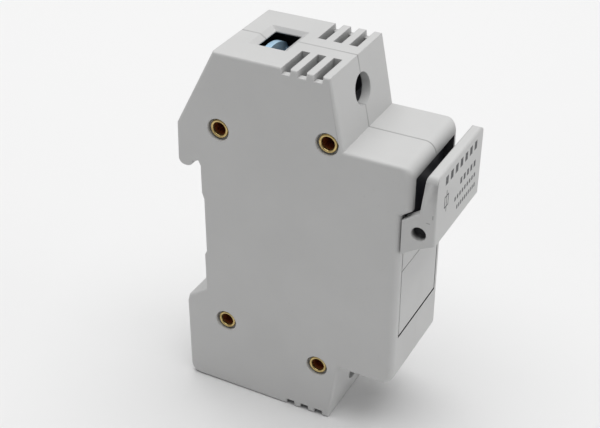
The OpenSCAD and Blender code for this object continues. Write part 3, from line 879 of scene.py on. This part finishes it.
def make_clip_spring():
    """Coil spring of the rail clip, with closed end turns."""
    low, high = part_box("rail_clip_spring")
    wire = 0.24 * MM
    coil = (high.x - low.x) / 2 - wire
    centre = (low + high) / 2
    turns, closed, steps = 8.0, 0.9, 260
    points = []
    for step in range(steps + 1):
        turn = turns * step / steps
        rise = min(1.0, max(0.0, (turn - closed) / (turns - 2 * closed)))
        z = low.z + wire + rise * (high.z - low.z - 2 * wire)
        points.append(Vector((centre.x + coil * math.cos(2 * math.pi * turn),
                              centre.y + coil * math.sin(2 * math.pi * turn), z)))
    bm = bmesh.new()
    tube_along(bm, points, wire * 0.98, 8)
    piece = link_mesh("clip_coil_spring", bm, STEEL, "housing",
                      ("rail_clip_spring",))
    piece.data.shade_smooth()
    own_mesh(piece)
    return piece


def make_screw(end):
    """Terminal screw: rounded head with its crossed slot, and a threaded shank."""
    low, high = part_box(end + "_terminal_screw")
    axis_z = (low.z + high.z) / 2
    shank, core, pitch = 2.5 * MM, 2.1 * MM, 0.8 * MM
    head_end = low.y + 3 * MM

    def thin_shank(bm):
        for vert in bm.verts:
            off = Vector((vert.co.x, vert.co.z - axis_z))
            if abs(off.length - shank) < 0.05 * MM and vert.co.y > head_end - 0.05 * MM:
                vert.co.x = off.x * core / shank
                vert.co.z = axis_z + off.y * core / shank

    def add_thread(bm):
        start, finish = head_end + 0.5 * MM, high.y - 0.5 * MM
        turns = (finish - start) / pitch
        steps = int(turns * 28)
        rows = []
        for step in range(steps + 1):
            angle = 2 * math.pi * turns * step / steps
            y = start + (finish - start) * step / steps
            fade = min(1.0, step / 10, (steps - step) / 10)
            crest = core + (shank - core) * fade
            row = []
            for radius, shift in ((core - 0.02 * MM, -0.36), (crest, -0.05), (crest, 0.05),
                                  (core - 0.02 * MM, 0.36)):
                row.append(bm.verts.new((radius * math.cos(angle), y + shift * pitch,
                                         axis_z + radius * math.sin(angle))))
            rows.append(row)
        faces = []
        for here, there in zip(rows, rows[1:]):
            for k in range(3):
                faces.append(bm.faces.new([here[k], here[k + 1], there[k + 1], there[k]]))
        bmesh.ops.recalc_face_normals(bm, faces=faces)

    return soften(end + "_terminal_screw", end + "_screw_threaded", evenly(0.22), SCREW_FINISH,
                  end + "_screw", reshape=thin_shank, extra=add_thread)


def make_fuse_cap(end):
    """Plated end cap with a rolled groove, a rounded rim and a dished end."""
    low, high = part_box("fuse_cap_" + end)
    radius = (high.x - low.x) / 2
    centre = (low + high) / 2
    length = high.z - low.z
    wall = 0.7 * MM
    profile = [(0.0, 0.25 * MM), (radius * 0.5, 0.25 * MM), (radius * 0.56, 0.02 * MM)]
    profile += arc((radius - 0.55 * MM, 0.55 * MM), 0.55 * MM, -90, 0, 6)
    groove = length - 3.1 * MM
    for along, depth in ((-0.75, 0.0), (-0.5, 0.1), (-0.18, 0.28), (0.18, 0.28), (0.5, 0.1),
                         (0.75, 0.0)):
        profile.append((radius - depth * MM, groove + along * MM))
    profile += [(radius, length - 0.25 * MM), (radius - 0.12 * MM, length - 0.03 * MM),
                (radius - 0.35 * MM, length), (radius - wall, length - 0.06 * MM),
                (radius - wall, wall), (0.0, wall)]
    flip = -1 if end == "upper" else 1
    base = high.z if end == "upper" else low.z
    bm = bmesh.new()
    turned(bm, profile, lambda u, v, w: Vector((centre.x + u, centre.y + v, base + flip * w)), 72)
    piece = link_mesh("fuse_end_" + end, bm, CAP, "carrier", ("fuse_cap_" + end,))
    piece.data.shade_smooth()
    keep_faces_flat(piece, weight=50)
    return piece


def make_ceramic():
    """Ceramic tube of the fuse, with softened ends and a slightly thicker middle band."""
    low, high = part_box("fuse_body")
    outer = (high.x - low.x) / 2
    inner = outer - 2.4 * MM
    centre = (low + high) / 2
    length = high.z - low.z
    profile = [(inner, 0.0), (outer - 0.5 * MM, 0.0)]
    profile += arc((outer - 0.5 * MM, 0.5 * MM), 0.48 * MM, -60, 0, 4)
    for share in (0.28, 0.3, 0.5, 0.7, 0.72):
        profile.append((outer - (0.05 * MM if share in (0.28, 0.72) else 0.0), share * length))
    profile += [(r, length - z) for r, z in reversed(arc((outer - 0.5 * MM, 0.5 * MM),
                                                         0.48 * MM, -60, 0, 4))]
    profile += [(outer - 0.5 * MM, length), (inner, length)]
    bm = bmesh.new()
    turned(bm, profile, lambda u, v, w: Vector((centre.x + u, centre.y + v, low.z + w)), 72)
    piece = link_mesh("fuse_tube", bm, CERAMIC, "carrier", ("fuse_body",))
    piece.data.shade_smooth()
    return piece


# ---------------------------------------------------------------- stage and light

def make_floor():
    """A plain pale floor with painted light: its colour gets a little brighter towards the back.
    """
    bm = bmesh.new()
    bmesh.ops.create_grid(bm, x_segments=2, y_segments=2, size=3.0)
    mesh = bpy.data.meshes.new("floor")
    bm.to_mesh(mesh)
    bm.free()
    floor = bpy.data.objects.new("floor", mesh)
    bpy.context.scene.collection.objects.link(floor)
    material, tree, shader = start_material("floor_paper", 0.7, specular=0.2)
    coords = node(tree, "ShaderNodeTexCoord")
    split = node(tree, "ShaderNodeSeparateXYZ")
    tree.links.new(coords.outputs["Object"], split.inputs[0])
    along = math_node(tree, "ADD", split.outputs["X"], split.outputs["Y"])
    factor = map_range(tree, along, -0.12, 0.45)
    # painted light: the floor's colour gets brighter towards the back
    painted_light_tone = mix_colour(tree, factor, (0.78, 0.78, 0.78, 1), (0.88, 0.88, 0.88, 1))
    speck = noise(tree, coords.outputs["Object"], 160.0, 1.0, 0.4)
    dust = math_node(tree, "MULTIPLY", map_range(tree, speck, 0.79, 0.83), 0.25)
    tree.links.new(mix_colour(tree, dust, painted_light_tone, (0.5, 0.5, 0.5, 1)), shader.inputs["Base Color"])
    floor.data.materials.append(material)
    return floor


def make_area_light(name, place_at, aim, size, power):
    """A square soft light that faces its aim."""
    data = bpy.data.lights.new(name, "AREA")
    data.shape = "SQUARE"
    data.size = size
    data.energy = power
    light = bpy.data.objects.new(name, data)
    light.location = place_at
    light.rotation_mode = "QUATERNION"
    light.rotation_quaternion = (Vector(aim) - Vector(place_at)).to_track_quat("-Z", "Y")
    bpy.context.scene.collection.objects.link(light)
    return light


def make_lights():
    """Even light from a large overhead source, a weak one in front, and a pale room."""
    make_area_light("overhead", (0.08, 0.02, 1.1), (0, 0, 0), 1.3, 13.4)
    make_area_light("front", (0.25, -1.1, 0.35), (0, 0, 0.03), 0.8, 2.2)
    world = bpy.data.worlds.new("room")
    world.use_nodes = True
    background = world.node_tree.nodes["Background"]
    background.inputs["Color"].default_value = (0.98, 0.98, 0.98, 1.0)
    background.inputs["Strength"].default_value = 0.31
    bpy.context.scene.world = world
    bpy.context.scene.view_settings.view_transform = "Standard"


# ---------------------------------------------------------------- build

make_camera()
make_floor()
make_lights()

GREY = plastic("grey_plastic", (0.56, 0.56, 0.556), 0.52)
# painted shade: the housing's inside faces are near-black for the shade deep inside, where the
# real plastic is grey
INSIDE_PAINTED_SHADE = plastic("grey_plastic_painted_inside_shade", (0.07, 0.07, 0.078), 0.6, depth=0.05)
# grey plastic with its print, and painted shade inside the seal holes
MARKED_WITH_HOLE_SHADE = plastic("grey_plastic_printed_painted_hole_shade", (0.56, 0.56, 0.556), 0.5, ink_and_shade_group=PRINT_AND_HOLE_SHADE, corner=0.4)
DARK = plastic("dark_plastic", (0.03, 0.031, 0.042), 0.4, grain=2600.0, depth=0.1)
BRASS = rivet_brass()
COPPER = metal("contact_copper", (0.72, 0.42, 0.28), 0.3, (1, 0.05, 1), (0.3, 0.14, 0.08, 1))
STEEL = metal("spring_steel", (0.5, 0.52, 0.55), 0.3, (0.05, 1, 1), (0.25, 0.22, 0.2, 1))
ZINC = metal("zinc_steel", (0.45, 0.66, 0.84), 0.4, (1, 1, 1), (0.66, 0.78, 0.84, 1),
             metallic=0.35)
SCREW_FINISH = metal("zinc_screw", (0.5, 0.56, 0.6), 0.3, (1, 1, 1), (0.5, 0.5, 0.42, 1))
CERAMIC = plastic("ceramic", (0.82, 0.8, 0.74), 0.25, bump=0.03)
CAP = metal("plated_cap", (0.62, 0.62, 0.6), 0.22, (1, 1, 0.05), (0.4, 0.36, 0.3, 1))
SILVER = metal("silver_strip", (0.8, 0.8, 0.82), 0.25, (1, 1, 0.05), (0.4, 0.38, 0.34, 1))
SAND = plastic("quartz_sand", (0.6, 0.52, 0.4), 0.8, bump=0.6)

for side in ("left", "right"):
    make_housing_half(side)
make_handle()
soften("carrier_front", "carrier_panel", front_radius, GREY, "carrier",
       reshape=shorten_front)
soften("fuse_cradle", "dark_cradle", evenly(0.25), DARK, "carrier")
soften("rail_clip", "sliding_rail_clip", evenly(0.3), GREY, "clip")
soften("pivot_pins", "pivot_stubs", evenly(0.15), STEEL, "carrier")
for end in ("upper", "lower"):
    soften(end + "_contact", end + "_jaw_contact", evenly(0.15), COPPER,
           "housing")
    soften(end + "_contact_spring", end + "_jaw_spring", evenly(0.1), STEEL,
           "housing")
    soften(end + "_terminal_cage", end + "_clamp_cage", evenly(0.25), ZINC,
           end + "_cage")
    make_screw(end)
    make_fuse_cap(end)
make_ceramic()
make_rivets()
make_clip_spring()
for name, finish in {"fuse_element": SILVER, "fuse_sand": SAND}.items():
    mesh = NODES[name].data
    mesh.materials.clear()
    mesh.materials.append(finish)
